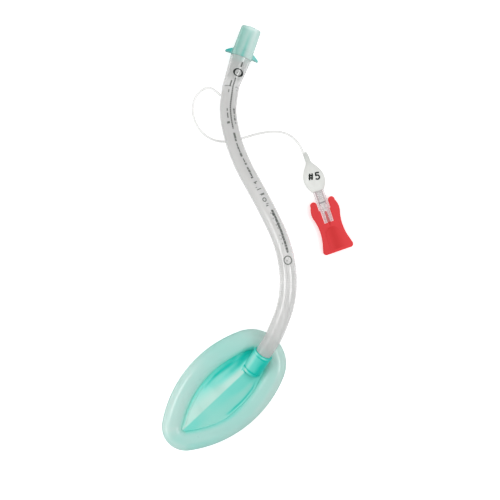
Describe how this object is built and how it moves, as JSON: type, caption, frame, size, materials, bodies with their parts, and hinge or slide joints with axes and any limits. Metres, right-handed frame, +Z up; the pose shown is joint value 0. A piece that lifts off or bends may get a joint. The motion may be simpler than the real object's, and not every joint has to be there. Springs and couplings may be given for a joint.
{
  "type": "reinforced laryngeal mask airway",
  "caption": "Wire-reinforced laryngeal mask airway: soft cuffed mask on a flexible tube with a 15 mm connector, inflation line, pilot balloon, check valve and pull-off red tag.",
  "frame": {"origin": "on the table under the middle of the mask, tube and connector, as the airway lies cuff down", "axes": "+Z up from the table, +Y towards the connector along the airway's length, +X to the side that the pilot balloon lies on"},
  "size_m": [0.1432, 0.3172, 0.0408],
  "materials": {
    "teal_cuff_silicone": "translucent moulded silicone, satin",
    "teal_plate_silicone": "translucent moulded silicone, satin",
    "clear_silicone": "clear extruded silicone, faintly milky",
    "coil_steel": "drawn stainless wire",
    "teal_plastic": "translucent moulded plastic, polished",
    "line_silicone": "milky extruded silicone",
    "frosted_silicone": "frosted white silicone",
    "clear_plastic": "clear moulded plastic, faintly violet",
    "white_plastic": "white moulded plastic",
    "spring_steel": "drawn stainless wire",
    "seal_rubber": "soft grey rubber",
    "red_plastic": "moulded red plastic, satin",
    "black_ink": "printed marks"
  },
  "bodies": {
    "root": {"inflatable_cuff": "teal_cuff_silicone", "mask_backplate": "teal_plate_silicone", "airway_tube": "clear_silicone", "reinforcing_coil": "coil_steel", "connector_15mm": "teal_plastic", "inflation_line": "line_silicone", "pilot_balloon": "frosted_silicone", "valve_body": "clear_plastic", "valve_retainer": "white_plastic", "valve_spring": "spring_steel"},
    "plunger": {"valve_plunger": "white_plastic", "valve_seal": "seal_rubber"},
    "tag": {"red_tag": "red_plastic"}
  },
  "joints": [
    {"name": "tag_slide", "type": "slide", "parent": "root", "child": "tag", "axis": [0.3305, -0.9438, 0], "range_m": [0, 0.045]},
    {"name": "plunger_slide", "type": "slide", "parent": "root", "child": "plunger", "axis": [0.3305, -0.9438, 0], "range_m": [0, 0.0015], "deforming": ["valve_spring"]}
  ],
  "couplings": [
    {"joint": "plunger_slide", "follows": "tag_slide", "ratio": 0.033333}
  ]
}
